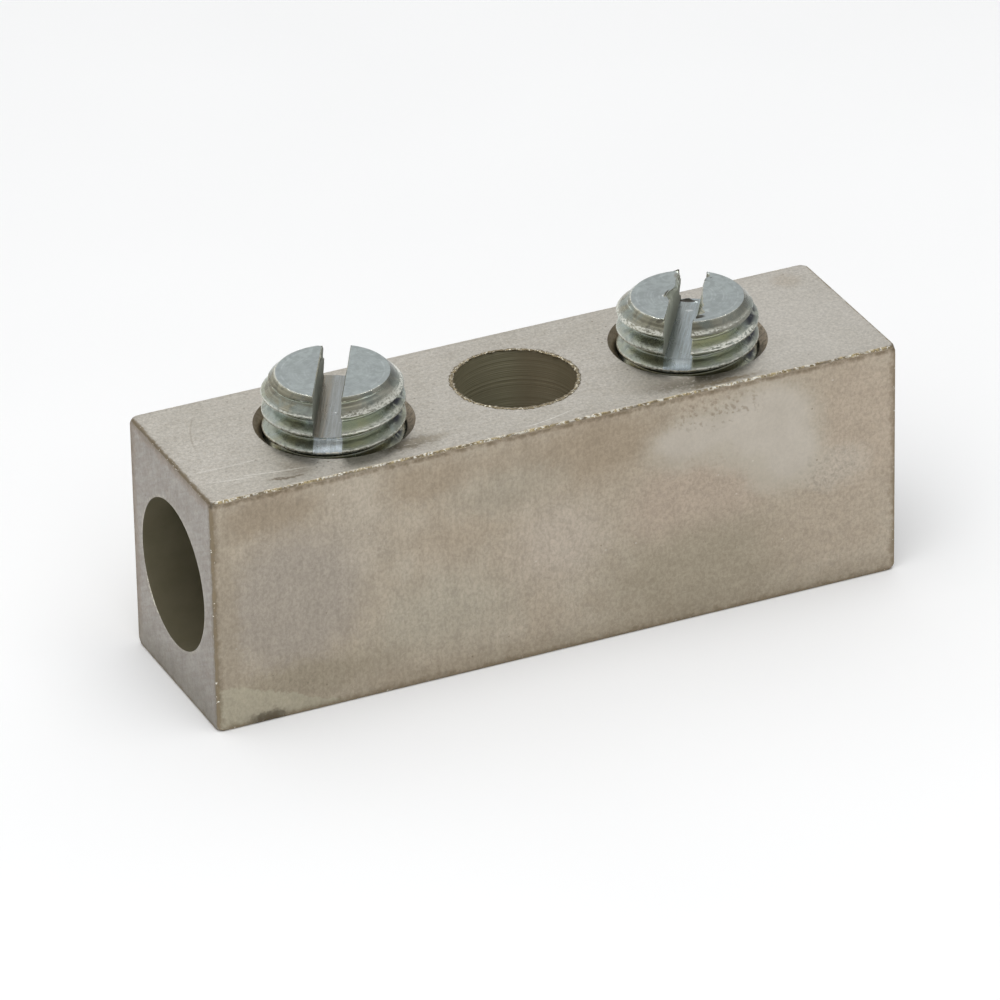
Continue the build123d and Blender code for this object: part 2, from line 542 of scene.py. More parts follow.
# %% The brushed top
brushing = graph.noise(graph.vector("MULTIPLY", place, (0.07, 2.2, 2.2)), 1.0, 3.0, 0.7)
speckle = graph.noise(place, 2.3, 3.0, 0.65, 0.3)
grit = graph.noise(place, 5.6, 2.0, 0.7)
specks = graph.effect(pits, Place=place, Spacing=0.8, Size=0.17, Share=0.55)["Mask"]
top_colour = graph.layers(
    metal("top", 181, 177, 169),
    (graph.fade(cloud, 0.35, 0.65), metal("top", 187, 183, 176)),
    (graph.fade(brushing, 0.35, 0.65, 0.0, 0.5), metal("top", 173, 168, 159)),
    (graph.fade(speckle, 0.50, 0.66, 0.0, 0.7), metal("top", 166, 160, 150)),
    (graph.fade(grit, 0.52, 0.68, 0.0, 0.4), metal("top", 158, 151, 140)),
    (graph.fade(grit, 0.46, 0.34, 0.0, 0.35), metal("top", 200, 197, 190)),
    (graph.times(specks, graph.fade(screw_hole_distance, 13.0, 9.2, 0.05, 0.7)), metal("top", 112, 104, 92)),
)
for right_by, back, half_width, half_back, softness, looks, strength in (
    (71.0, 10.5, 13.0, 12.0, 0.7, (190, 186, 179), 0.8),
    (24.4, 3.0, 3.2, 1.2, 0.6, (118, 110, 96), 0.95),
    (61.5, 0.9, 4.2, 0.5, 0.6, (138, 126, 106), 0.9),
    (58.6, 2.6, 5.0, 1.5, 0.6, (116, 109, 96), 0.95),
    (26.5, 3.2, 3.0, 0.7, 0.6, (150, 143, 130), 0.8),
    (11.5, 3.2, 1.6, 1.7, 0.7, (156, 149, 138), 0.8),
    (9.8, 1.9, 1.9, 0.22, 0.5, (122, 112, 98), 0.9),
    (54.0, 3.8, 4.5, 1.4, 0.7, (170, 164, 154), 0.6),
    (78.5, 19.5, 1.5, 1.5, 0.6, (172, 163, 150), 0.6),
):
    mask = stain_mask(place, on_bar(right_by, back, bar_top), (half_width, half_back, top_depth), softness, 1.4)
    mask = graph.times(mask, graph.fade(speckle, 0.25, 0.5), strength)
    top_colour = graph.mix(mask, top_colour, metal("top", *looks))

flat_place = graph.vector("MULTIPLY", place, (1, 1, 0))
for circle, radius, width, (right_by, back), size, looks, strength in (
    ((-25.2, 31.7, 0), 40.0, 0.14, (9.0, 3.6), (4.2, 1.0), (216, 213, 207), 0.7),
    ((-35.9, 35.7, 0), 40.0, 0.12, (5.3, 7.0), (4.4, 0.9), (210, 207, 201), 0.5),
    ((-31.5, 25.2, 0), 33.0, 0.12, (4.5, 4.0), (2.6, 0.8), (214, 211, 205), 0.6),
    ((-20.0, -2.0, 0), 18.0, 0.16, (4.3, 15.8), (2.4, 3.6), (160, 154, 144), 0.7),
    ((-8.4, 23.6, 0), 34.5, 0.10, (41.0, 1.4), (3.2, 1.4), (222, 220, 214), 0.6),
):
    line = graph.minus(graph.vector("DISTANCE", flat_place, circle, out=1), radius)
    line = graph.times(graph.fade(graph.math("ABSOLUTE", line), width, width * 0.3), strength)
    mask = stain_mask(place, on_bar(right_by, back, bar_top), (*size, top_depth), 0.5, 0.4)
    top_colour = graph.mix(graph.times(line, mask), top_colour, metal("top", *looks))
print("nodes so far", len(plating.node_tree.nodes))

# %% [markdown]
# The ends show brushed lines too, but slanted, and they are browner near the back and the top, and painted darker
# near the floor as shade. The front's own grain runs upright on the left and level on the right, with curls in
# between, and fades on the smooth patches.

# %% The ends and the grain
slanted_lines = graph.math("ADD", graph.times(y, 0.5), graph.times(z, 0.87))
along_lines = graph.minus(graph.times(z, 0.5), graph.times(y, 0.87))
line_place = graph.join(graph.times(slanted_lines, 1.9), graph.times(along_lines, 0.28), x)
slant = graph.noise(line_place, 1.0, 3.0, 0.65, 0.3)
from_back = graph.total(graph.minus(float(bar_high[1]), y), (bend_y, 1.6))
border = graph.math("MINIMUM", from_back, graph.minus(bar_top + 0.3, graph.total(z, (bend_z, 1.6))))
end_colour = graph.layers(
    metal("end", 154, 147, 139),
    (graph.fade(slant, 0.3, 0.7), metal("end", 168, 163, 156)),
    (graph.fade(fine_cloud, 0.45, 0.75, 0.0, 0.4), metal("end", 160, 151, 141)),
    (graph.fade(border, 1.9, 1.0, 0.0, 0.7), metal("end", 150, 138, 125)),
    # painted shade: the end is darker towards the floor
    (graph.fade(z, 5.5, 1.0, 0.0, 0.7), metal("end", 146, 140, 129)),
)
colour = graph.layers(colour, (top_face, top_colour), (end_face, end_colour))

upright = graph.noise(graph.vector("MULTIPLY", place, (2.2, 1.0, 0.25)), 1.0, 3.0, 0.6)
ripples = graph.noise(graph.vector("MULTIPLY", place, (0.7, 1.0, 2.3)), 1.3, 3.0, 0.6, 0.9)
curls = graph.noise(place, 1.7, 3.0, 0.6, 1.4)
lean = graph.fade(graph.total(x, (bend_x, 8.0)), -4.0, 12.0)
streaks = graph.times(graph.minus(upright, 0.5), graph.minus(1.0, lean))
streaks = graph.total(streaks, (graph.minus(ripples, 0.5), lean))
streaks = graph.total(graph.times(streaks, graph.minus(1.0, top_face)), (graph.minus(curls, 0.5), 0.9))
streaks = graph.times(streaks, graph.total(1.0, (smooth_skin, -0.7)))

# Dapples and grain darken and lighten the skin by a few parts in a hundred
dapple_strength = graph.total(0.22, (smooth_skin, -0.14))
gain = graph.total(1.0, (graph.minus(skin["Tone"], 0.5), dapple_strength), (streaks, 0.27))
colour = graph.scale(colour, gain)
print("nodes so far", len(plating.node_tree.nodes))

# %% [markdown]
# Edges wear first. Close to an edge the skin is browner in patches, and on the edge itself dull gold-brown metal lies
# between small burrs whose near-white spots are partly polish and partly painted highlight, most of all along the
# top. Under the top's front edge runs a thin dark line of painted shade. The browning and the edge metal follow the
# distance to the nearest edge, broken up by noise, as real wear is. Along the top's edges `along_top` is 1, and the
# wear reaches further.

# %% Edges and pits
edge_noise = graph.noise(place, 1.3, 3.0, 0.6)
glint_noise = graph.noise(place, 2.4, 2.0, 0.75)
ragged_edge = graph.total(edge_distance, (edge_noise, -1.6))
edge_haze = graph.times(graph.fade(ragged_edge, 0.2, -0.65, 0.0, 0.5), graph.total(1.0, (top_face, -0.8)))
colour = graph.mix(edge_haze, colour, graph.mix(0.5, metal("front", 120, 106, 84), colour, "MULTIPLY"))

along_top = graph.times(graph.fade(z, bar_top - 0.7, bar_top - 0.4), graph.fade(room[0], 0.3, 0.8))
worn_edge = graph.total(edge_distance, (graph.minus(edge_noise, 0.5), -0.5), (along_top, 0.13))
on_edge = graph.fade(worn_edge, 0.44, 0.22)
edge_cover = graph.times(on_edge, graph.fade(edge_noise, 0.3, 0.6, 0.2, 0.75))
edge_metal = graph.mix(along_top, rgb(150, 136, 112), rgb(216, 197, 150))
# painted shade: a thin dark line just under the top's front edge
shade_under_edge = graph.times(
    graph.fade(z, bar_top - 0.95, bar_top - 0.6),
    graph.fade(z, bar_top - 0.36, bar_top - 0.42),
    graph.fade(edge_noise, 0.35, 0.6, 0.1, 0.5),
    on_front,
)
# painted highlight: near-white glints on the edge burrs, partly real polish
glint_level = graph.total(graph.minus(glint_noise, 0.675), (along_top, 0.16), (graph.minus(fine_cloud, 0.5), 0.35))
glints = graph.times(graph.fade(glint_level, 0.0, 0.05), on_edge)
dark_bits = graph.times(graph.fade(speckle, 0.46, 0.56, 0.0, 0.85), on_edge, along_top)

dark_pits = graph.effect(pits, Place=place, Spacing=2.2, Size=0.17, Share=0.35)["Mask"]
moved_place = graph.vector("ADD", place, (31, 17, 5))
light_pits = graph.effect(pits, Place=moved_place, Spacing=2.0, Size=0.16, Share=0.3)["Mask"]
smudge = stain_mask(place, on_bar(6.2, 0, 0.5), (1.9, 1.5, 0.9), 0.5, 1.6)
colour = graph.layers(
    colour,
    (shade_under_edge, rgb(112, 98, 76)),
    (edge_cover, edge_metal),
    (dark_bits, rgb(112, 98, 74)),
    (glints, rgb(250, 247, 236)),
    (graph.times(dark_pits, 0.5), rgb(104, 94, 78)),
    (graph.times(light_pits, 0.35), rgb(228, 224, 214)),
    (graph.times(smudge, 0.75), rgb(84, 76, 62)),
)
print("nodes so far", len(plating.node_tree.nodes))

# %% [markdown]
# Cut walls are not plated as thickly and scatter light, so they are partly metallic. The rim of the inspection hole
# is bright where the drill's burr was knocked off, and the mouth of the wire bore is chipped on its lower rear side.

# %% Rims and cut walls
rim_distance = graph.minus(middle_hole_distance, inspection_radius)
bright_rim = graph.times(graph.fade(graph.total(rim_distance, (glint_noise, -0.75)), -0.02, -0.22), top_face)
mouth_distance = graph.total(graph.minus(bore_distance, wire_bore_radius), (speckle, -0.9))
low_rear = stain_mask(place, (bar_left, 6.6, 8.4), (4, 2.2, 3.0), 0.4, 0.5)
chips = graph.times(
    graph.fade(mouth_distance, -0.05, -0.25),
    end_face,
    graph.total(0.25, (low_rear, 0.75)),
    graph.fade(glint_noise, 0.4, 0.6),
)
turned = graph.total(graph.minus(bar_top, z), (x, 0.06))
drill_marks = graph.effect(tool_rings, Travel=turned, Pitch=0.22, Place=place)["Tone"]
wall_colour = graph.layers(
    rgb(146, 140, 114),
    (graph.fade(drill_marks, 0.25, 0.75), rgb(184, 178, 150)),
    (graph.times(graph.fade(graph.minus(x, inspection_x), 1.5, 4.5), 0.5), rgb(150, 132, 108)),
)
sunk_colour = graph.layers(
    rgb(174, 160, 138),
    # painted light and shade: each countersink is lighter on its right and darker on its left
    (graph.fade(screw_x, 3.0, 7.5), rgb(222, 208, 188)),
    (graph.fade(speckle, 0.45, 0.62, 0.0, 0.6), rgb(140, 128, 108)),
)
bore_colour = graph.layers(
    rgb(132, 126, 102),
    (graph.fade(fine_cloud, 0.3, 0.7), rgb(140, 133, 110)),
    # painted shade: darker towards the bottom of the wire bore
    (graph.fade(bore_z, -1.0, -8.0, 0.0, 0.35), rgb(92, 86, 68)),
)
colour = graph.layers(
    colour,
    (graph.times(bright_rim, 0.6), metal("top", 186, 178, 160)),
    (chips, rgb(226, 222, 204)),
    (middle_wall, wall_colour),
    (tapped_wall, rgb(150, 140, 116)),
    (sunk_wall, sunk_colour),
    (bore_wall, bore_colour),
)
metallic = graph.total(1.0, (cut_walls, -0.5), (graph.times(on_edge, along_top), -0.4))
print("nodes so far", len(plating.node_tree.nodes))

# %% [markdown]
# The heights are in millimetres: the dapples are a few thousandths deep, and less on the smooth patch, for which one
# plain oval is enough. The tapped walls get their thread here as well, because the screws slide past them in the
# model. Its phase is the height divided by the pitch, less the angle round the hole in turns, and a triangle wave of
# that phase is the groove. A bump node works out its height three times, so nothing costly goes into it in vain.

# %% Relief and roughness
thread_pitch = 2.117
angle = graph.math("DIVIDE", graph.math("ARCTAN2", row_y, screw_x), 2 * math.pi)
climb = graph.minus(graph.math("DIVIDE", z, thread_pitch), angle)
thread_height = graph.times(graph.math("PINGPONG", climb, 0.5), tapped_wall, -1.1)

smooth_oval = {"Middle": on_bar(64.5, 0, 21.4), "Half_Size": (10.5, front_depth, 5.0), "Softness": 0.25}
smooth_area = graph.effect(stain, Place=place, **smooth_oval)["Mask"]
skin_depth = graph.times(graph.total(0.010, (smooth_area, -0.007)), graph.total(1.0, (top_face, -0.5)))
height = graph.total(
    graph.times(skin["Height"], skin_depth),
    (graph.times(brushing, top_face), 0.006),
    (graph.times(slant, end_face), 0.010),
    (graph.times(glint_noise, on_edge), 0.06),
    (graph.times(glint_noise, bright_rim), 0.10),
)
height = graph.total(graph.times(height, outside), (graph.times(drill_marks, middle_wall), 0.02))
height = graph.math("ADD", height, thread_height)
roughness = graph.total(
    0.38,
    (graph.fade(fine_cloud, 0.3, 0.7), 0.08),
    (skin["Tone"], 0.05),
    (top_face, 0.08),
    (on_edge, 0.12),
    (glints, -0.14),
)
graph.finish(shader, Base_Color=colour, Roughness=roughness, Metallic=metallic, Normal=graph.bump(height))
for slot in bar.material_slots:
    slot.material = plating
print("bar material slots", len(bar.material_slots), "nodes", len(plating.node_tree.nodes))

# %% [markdown]
# ## The burr round the inspection hole
# The drill pushed up a thin ragged lip round the hole, and tumbling broke it down to about a tenth of a millimetre.
# It is a ring: a low bump of a profile carried round the hole's rim, whose width and height come from sums of sines
# with many odd numbers of waves, so that no stretch looks like the next.

# %% The drill burr
around = np.linspace(0, 2 * math.pi, 541)[:-1][:, None]
across = np.linspace(0, 2 * math.pi, 11)[:-1][None, :]


def uneven(angle, waves, phases):
    """A value from about -1 to 1: the mean of sines of the angle, with the given numbers of waves."""
    return sum(np.sin(wave * angle + phase) for wave, phase in zip(waves, phases)) / len(waves) * 1.6


wide = 0.24 + 0.10 * uneven(around, (3, 11, 23, 41, 67), (0.3, 1.9, 4.1, 2.2, 5.0))
tall = 0.055 + 0.035 * uneven(around, (5, 17, 31, 53, 89), (1.1, 0.4, 3.3, 5.6, 2.7))
tall = np.clip(tall * (1.0 + 0.35 * np.sin(around)), 0.012, 0.12)
reach = inspection_radius + 0.06 + wide * np.cos(across) + 0.05 * uneven(around, (7, 29, 61), (2.0, 4.4, 0.9))
lift = bar_top + 0.01 + tall * np.sin(across)
burr_points = np.stack([inspection_x + reach * np.cos(around), hole_row_y + reach * np.sin(around), lift], -1)
rows, columns = burr_points.shape[:2]
index = np.arange(rows * columns).reshape(rows, columns)
following, beside = np.roll(index, -1, 0), np.roll(index, -1, 1)
burr_faces = np.stack([index, following, np.roll(following, -1, 1), beside], -1).reshape(-1, 4)
burr = surface_mesh("hole_burr", burr_points.reshape(-1, 3) * MM, burr_faces)
burr.data.shade_smooth()
print("burr faces", len(burr.data.polygons), "height mm", round(float(burr_points[..., 2].max() - bar_top), 3))

bright_metal, graph, shader, place = new_material("burred_aluminium")
chatter = graph.noise(place, 3.5, 3.0, 0.7)
colour = graph.mix(graph.fade(chatter, 0.50, 0.66), rgb(128, 116, 92), rgb(232, 226, 208))
bump = graph.bump(graph.times(chatter, 0.05))
graph.finish(shader, Base_Color=colour, Roughness=graph.total(0.32, (chatter, 0.2)), Metallic=1.0, Normal=bump)
burr.data.materials.append(bright_metal)
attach(burr, "block")

# %% [markdown]
# ## The thread of the set screws
# Each screw is a full-diameter thread, 12 turns to the inch, cut off by a 45 degree chamfer at both ends. Its surface
# is one function of the angle and the height: start at the crest's radius and drop down the flank with the distance
# from the nearest crest. The crest climbs one pitch in each turn. The right screw stands turned a little further in.

# %% The thread's formula
thread_radius, thread_depth = 7.9375, 1.34
crest_flat = 0.34
face_radius, rim_round = 6.3, 0.10
rim_drop = rim_round * (1 - math.cos(math.radians(45)))  # how far down the rounded rim meets the chamfer
screw_length = 10.8
slot_depth, slot_half_width, slot_edge_break = 4.35, 1.55, 0.10
first_crest = 32.18 - bar_top  # height of a crest over the bar, at crest_start before +X
crest_start = math.radians(204.25)


def crest_height(angle):
    """Height of the crest at an angle: it climbs one pitch a turn."""
    return bar_top + first_crest + thread_pitch * (angle + crest_start) / (2 * math.pi)


def thread_surface(angle, height, top):
    """Radius of the screw at a world angle and height.

    The distance along the axis to the nearest crest, less half the crest's flat and times tan 60 degrees, is the
    drop. Two smooth corners, each half the sum of x and the root of x squared plus s squared, round the crest's
    edges and the root. The chamfers are cones that limit the radius, and the top rim is a small arc: the root of
    its radius squared less the square of the height under its middle.
    """
    away = height - crest_height(angle)
    away = np.abs(away - thread_pitch * np.round(away / thread_pitch))
    past_flat = away - crest_flat / 2
    drop = math.tan(math.radians(60)) * (past_flat + np.sqrt(past_flat**2 + 0.09**2)) / 2
    short = thread_depth - drop
    drop = thread_depth - (short + np.sqrt(short**2 + 0.16**2)) / 2
    below = top - height
    cone = np.minimum(below, height - (top - screw_length)) + face_radius
    arc = np.sqrt(np.clip(rim_round**2 - (rim_round - below) ** 2, 0, None))
    arc = face_radius - rim_round * math.tan(math.radians(22.5)) + arc
    cone = np.where(below < rim_drop, arc, cone)
    return np.minimum(thread_radius - drop, cone)


crest_rows = np.array([0.0, 0.10, 0.17, 0.21, 0.25, 0.30, 0.36, 0.45, 0.55, 0.66, 0.76, 0.85, 0.93, 1.0])
crest_rows = np.concatenate([[-thread_pitch / 2], -crest_rows[:0:-1], crest_rows])
print("rows in a pitch", len(crest_rows))

# %% [markdown]
# ## The slotted screw as surfaces
# A saw cut splits the upper part into two lobes. The side of the screw is built in strips round the axis whose first
# and last columns follow the walls of the cut, so that the walls, the floor of the cut and the end faces start from
# the very same points and close without a seam. A damaged slot is made last: each dent pushes the points near it by
# a bell curve, as a slipping screwdriver pushes metal.


# %% Building one screw
def slotted_screw(name, middle, top, slot_turn, slot_shift, dents):
    """A threaded, slotted screw. Heights and lengths are in mm, slot_turn in degrees clockwise from +Y.

    In the screw's own plan the slot runs along v and u goes across it. Every patch is a grid of points, and a grid
    is joined to its neighbours by sharing their points.
    """
    turn = math.radians(slot_turn)
    floor_z, tip = top - slot_depth, top - screw_length
    lobe_columns, mouth_columns = 120, 16
    patches = []

    def half_width(height):
        return slot_half_width + np.clip(height - (top - slot_edge_break), 0, None)

    def radius(plan_angle, height):
        return thread_surface(plan_angle - turn, height, top)

    def corner(side, end, height):
        """Plan angle where the slot's wall meets the thread: the arc cosine of u over the radius, found by steps."""
        across = side * half_width(height) + slot_shift
        found = end * np.arccos(across / 7.3)
        for _ in range(8):
            found = end * np.arccos(across / radius(found, height))
        return found

    sectors = {
        "right_lobe": ((1, -1, 0), (1, 1, 0), lobe_columns),
        "back_mouth": ((1, 1, 0), (-1, 1, 0), mouth_columns),
        "left_lobe": ((-1, 1, 0), (-1, -1, 1), lobe_columns),
        "front_mouth": ((-1, -1, 1), (1, -1, 1), mouth_columns),
    }

    def side(sector, low, high):
        """One strip of the side, between two heights: rows follow the crest round and are clipped to the strip."""
        (side_a, end_a, turns_a), (side_b, end_b, turns_b), columns = sectors[sector]
        share = np.linspace(0, 1, columns + 1)[None, :]
        first = corner(side_a, end_a, np.array(low)) + 2 * math.pi * turns_a
        last = corner(side_b, end_b, np.array(low)) + 2 * math.pi * turns_b
        start = crest_height(first + share * (last - first) - turn)
        lowest = math.floor((low - start.max()) / thread_pitch) - 1
        highest = math.ceil((high - start.min()) / thread_pitch) + 1
        rows = (np.arange(lowest, highest + 1)[:, None] * thread_pitch + crest_rows[None, :]).ravel()
        rows = rows[(rows + start.max() >= low - 0.2) & (rows + start.min() <= high + 0.2)]
        height = np.clip(start + rows[:, None], low, high)
        height[0], height[-1] = low, high
        if high - low < 0.05:
            height = (high - (high - low) * np.linspace(1, 0, 6) ** 2)[:, None] + np.zeros_like(share)
        first = corner(side_a, end_a, height) + 2 * math.pi * turns_a
        last = corner(side_b, end_b, height) + 2 * math.pi * turns_b
        angle = first + share * (last - first)
        reach = radius(angle, height)
        return np.stack([reach * np.cos(angle), reach * np.sin(angle), height], -1)

    def between(first, last, share):
        """Points on straight lines from each point of one edge to the matching point of the other."""
        return first[None] + share[:, None, None] * (last - first)[None]

    chamfer = thread_radius - face_radius
    levels = [tip, tip + chamfer, floor_z]
    for low, high in zip(levels[:-1], levels[1:]):
        patches += [side(sector, low, high) for sector in sectors]
    levels = [floor_z, top - chamfer, top - slot_edge_break, top - rim_drop, top]
    lobes = {"right_lobe": [], "left_lobe": []}
    for low, high in zip(levels[:-1], levels[1:]):
        for lobe in lobes:
            lobes[lobe].append(side(lobe, low, high))
            patches.append(lobes[lobe][-1])

    lengthwise = {}
    for lobe, strips in lobes.items():
        rim = strips[-1][-1]
        ends = rim[0, 1], rim[-1, 1]
        share = (rim[:, 1] - ends[0]) / (ends[1] - ends[0])
        lengthwise[lobe] = share
        for strip in strips:
            first, last = strip[:, 0], strip[:, -1]
            wall = first[:, None] + share[None, :, None] * (last - first)[:, None]
            wall[..., 0] = np.sign(rim[0, 0]) * half_width(wall[..., 2]) + slot_shift
            patches.append(wall)
        chord = rim.copy()
        chord[:, 0] = rim[0, 0]
        patches.append(between(chord, rim, np.linspace(0, 1, 31) ** 1.6))

    front = side("front_mouth", levels[0] - 1, levels[0])[-1]
    back = side("back_mouth", levels[0] - 1, levels[0])[-1][::-1]
    across = np.linspace(0, 1, mouth_columns + 1)[None, :, None]
    right_share, left_share = lengthwise["right_lobe"], 1 - lengthwise["left_lobe"][::-1]
    along = left_share[:, None, None] * (1 - across) + right_share[:, None, None] * across
    patches.append(front[None] + along * (back - front)[None])

    for sector in sectors:
        ring = side(sector, tip, tip + chamfer)[0]
        centre = np.zeros_like(ring)
        centre[:, 2] = tip
        patches.append(between(centre, ring, np.array([0.0, 0.25, 0.5, 0.75, 0.9, 0.97, 1.0])))

    points, faces, count = [], [], 0
    for patch in patches:
        rows, columns = patch.shape[:2]
        index = np.arange(rows * columns).reshape(rows, columns) + count
        faces.append(np.stack([index[:-1, :-1], index[:-1, 1:], index[1:, 1:], index[1:, :-1]], -1).reshape(-1, 4))
        points.append(patch.reshape(-1, 3))
        count += rows * columns
    points, faces = np.concatenate(points), np.concatenate(faces)

    # The finish follows these two, so they are kept with each point: its place in the slot, and on the thread
    slot_frame = points - np.array([slot_shift, 0, top])
    plan_angle = np.arctan2(points[:, 1], points[:, 0]) - turn + crest_start
    crest_away = points[:, 2] - bar_top - first_crest - thread_pitch * plan_angle / (2 * math.pi)
    crest_away = crest_away - thread_pitch * np.round(crest_away / thread_pitch)

    shift_points = np.zeros_like(points)
    for where, size, push in dents:
        offset = (points - np.array([where[0], where[1], top + where[2]])) / np.array(size)
        shift_points += np.exp(-(offset**2).sum(1))[:, None] * np.array(push)
    points += shift_points

    cos, sin = math.cos(turn), math.sin(turn)
    plan = points.copy()
    points[:, 0] = middle[0] + plan[:, 0] * cos + plan[:, 1] * sin
    points[:, 1] = middle[1] - plan[:, 0] * sin + plan[:, 1] * cos
    made = surface_mesh(name, points * MM, faces)
    made.data.attributes.new("slot_frame", "FLOAT_VECTOR", "POINT").data.foreach_set("vector", slot_frame.ravel())
    made.data.attributes.new("crest_away", "FLOAT", "POINT").data.foreach_set("value", crest_away)

    shell = bmesh.new()
    shell.from_mesh(made.data)
    bmesh.ops.remove_doubles(shell, verts=shell.verts, dist=2e-7)
    bmesh.ops.dissolve_degenerate(shell, edges=shell.edges, dist=1e-7)
    bmesh.ops.recalc_face_normals(shell, faces=shell.faces)
    open_edges = sum(1 for edge in shell.edges if len(edge.link_faces) != 2)
    volume = round(shell.calc_volume() / MM**3, 1)
    print(name, "faces", len(shell.faces), "open edges", open_edges, "volume mm3", volume)
    shell.to_mesh(made.data)
    shell.free()
    made.data.shade_smooth()
    made.data.set_sharp_from_angle(angle=math.radians(32))
    return made


left_slot_turn, right_slot_turn = 28.5, 33.3  # as in the CAD model
screw_tops = {name: float(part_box(name)[1].z) / MM for name in screw_place}
left_screw = slotted_screw(
    "left_screw",
    screw_place["left_set_screw"][:2],
    screw_tops["left_set_screw"],
    left_slot_turn,
    -0.08,
    [
        # where (u, v, height from the top), size, push
        ((-1.55, 3.3, -0.20), (0.20, 0.22, 0.22), (0.20, 0.0, 0.0)),
        ((-1.60, 5.9, 0.0), (0.35, 0.35, 0.25), (-0.05, -0.08, -0.10)),
        ((0.33, -1.67, -4.35), (0.16, 0.16, 0.2), (0.0, 0.0, -0.10)),
        ((1.50, 1.5, 0.0), (0.20, 1.60, 0.15), (0.03, 0.0, -0.03)),
    ],
)
right_screw = slotted_screw(
    "right_screw",
    screw_place["right_set_screw"][:2],
    screw_tops["right_set_screw"],
    right_slot_turn,
    -0.18,
    [
        ((-1.75, 0.1, 0.0), (0.60, 0.95, 0.9), (-0.52, 0.0, -0.12)),
        ((-1.75, 0.9, -0.5), (0.35, 0.5, 0.7), (-0.25, 0.0, 0.0)),
        ((-2.30, -0.25, 0.0), (0.20, 0.22, 0.3), (-0.12, 0.0, 0.08)),
        ((-1.75, 2.5, -0.45), (0.35, 0.80, 0.45), (0.42, 0.0, -0.05)),
        ((-1.75, 4.0, -0.7), (0.35, 0.60, 0.50), (0.35, 0.0, 0.0)),
        ((-1.75, 5.2, -0.3), (0.35, 0.40, 0.35), (0.28, 0.0, -0.04)),
        ((-1.80, 6.0, 0.0), (0.30, 0.35, 0.35), (0.06, 0.05, 0.16)),
        ((1.50, 1.2, 0.0), (0.40, 0.90, 0.40), (0.12, 0.0, -0.02)),
        ((1.50, -0.4, 0.0), (0.60, 0.90, 0.50), (0.32, 0.0, -0.04)),
        ((1.50, -2.0, 0.0), (0.85, 0.90, 0.60), (0.62, 0.0, -0.06)),
        ((1.50, -3.6, 0.0), (1.15, 0.75, 0.65), (0.92, 0.0, -0.08)),
        ((1.45, -4.95, 0.0), (0.42, 0.26, 0.55), (0.36, 0.0, -0.20)),
        ((1.40, 5.3, 0.0), (0.35, 0.45, 0.35), (0.14, -0.08, -0.16)),
        ((-2.0, -6.1, 0.0), (0.45, 0.18, 0.25), (0.0, 0.20, -0.10)),
        ((-0.9, 7.5, -4.35), (0.45, 0.22, 0.5), (0.0, 0.0, 0.24)),
        ((0.1, 7.2, -4.35), (0.30, 0.25, 0.4), (0.0, 0.0, 0.10)),
        ((-0.3, 4.9, -4.35), (0.30, 0.35, 0.3), (0.0, 0.0, 0.07)),
    ],
)

# %% [markdown]
# ## Zinc plating
# The screws are steel, zinc-plated and passivated, which gives a cold bluish grey on the flat end and faint olive,
# yellow and violet tints on the flanks. The flat end and the chamfer keep the fine rings of the lathe. The surface
# formulas left two attributes at each point, which say where it lies: its place in the slot's own frame, and its
# height over the nearest crest, which is negative below the crest.

# %% Places on a screw
zinc, graph, shader, place = new_material("zinc_plated_steel")
x, y = graph.parts(place)[:2]
face_z = graph.parts(graph.add("TexCoord").outputs["Normal"])[2]
from_screws, own_x = beside_screws(x)
on_right = graph.math("GREATER_THAN", from_screws, 0.0)
from_centre = from_axis(own_x, graph.minus(y, hole_row_y))

slot_place = graph.add("Attribute", attribute_name="slot_frame").outputs["Vector"]
across, _, under = graph.parts(slot_place)
crest_away = graph.add("Attribute", attribute_name="crest_away").outputs["Fac"]
crest_distance = graph.math("ABSOLUTE", crest_away)
off_middle = graph.math("ABSOLUTE", across)
in_slot = graph.math("LESS_THAN", off_middle, slot_half_width + 0.03)
in_cut = graph.times(in_slot, graph.math("GREATER_THAN", under, -slot_depth - 0.02))
slot_floor = graph.times(in_cut, graph.fade(face_z, 0.6, 0.8), graph.math("LESS_THAN", under, -3.0))
slot_wall = graph.times(graph.minus(in_cut, slot_floor), graph.fade(face_z, 0.6, 0.3))
mouth = graph.times(in_slot, graph.fade(under, -4.30, -4.42), graph.fade(under, -6.4, -6.1))
level = graph.times(graph.fade(face_z, 0.93, 0.99), graph.math("GREATER_THAN", under, -1.0))
on_cone = graph.times(
    graph.fade(face_z, 0.55, 0.65), graph.fade(face_z, 0.92, 0.85), graph.math("GREATER_THAN", under, -1.75)
)
print("nodes so far", len(zinc.node_tree.nodes))

# %% [markdown]
# Dark patches are painted in the valleys on the right of each screw, and fainter ones on the left: painted shade,
# broken up by noise. The metal mirrors the studio, so the colours here are lighter than what is seen.

# %% Its colours
bend = graph.effect(warp, Place=place)["Warp"]
film = graph.noise(place, 0.30, 3.0, 0.55, 0.6)
tint = graph.noise(graph.vector("ADD", place, (9, 4, 2)), 0.42, 2.0, 0.5, 0.4)
blotch = graph.noise(place, 1.1, 4.0, 0.65, 0.5)
spots = graph.effect(dapple, Place=place, Grain=0.35)
rings = graph.effect(tool_rings, Travel=from_centre, Pitch=0.33, Place=place)["Tone"]
side_colour = graph.layers(
    rgb(186, 188, 166),
    (graph.fade(film, 0.36, 0.5), rgb(183, 188, 173)),
    (graph.fade(film, 0.52, 0.64), rgb(190, 199, 190)),
    (graph.fade(tint, 0.56, 0.68, 0.0, 0.35), rgb(194, 193, 178)),
    (graph.fade(tint, 0.42, 0.32, 0.0, 0.2), rgb(188, 187, 196)),
)
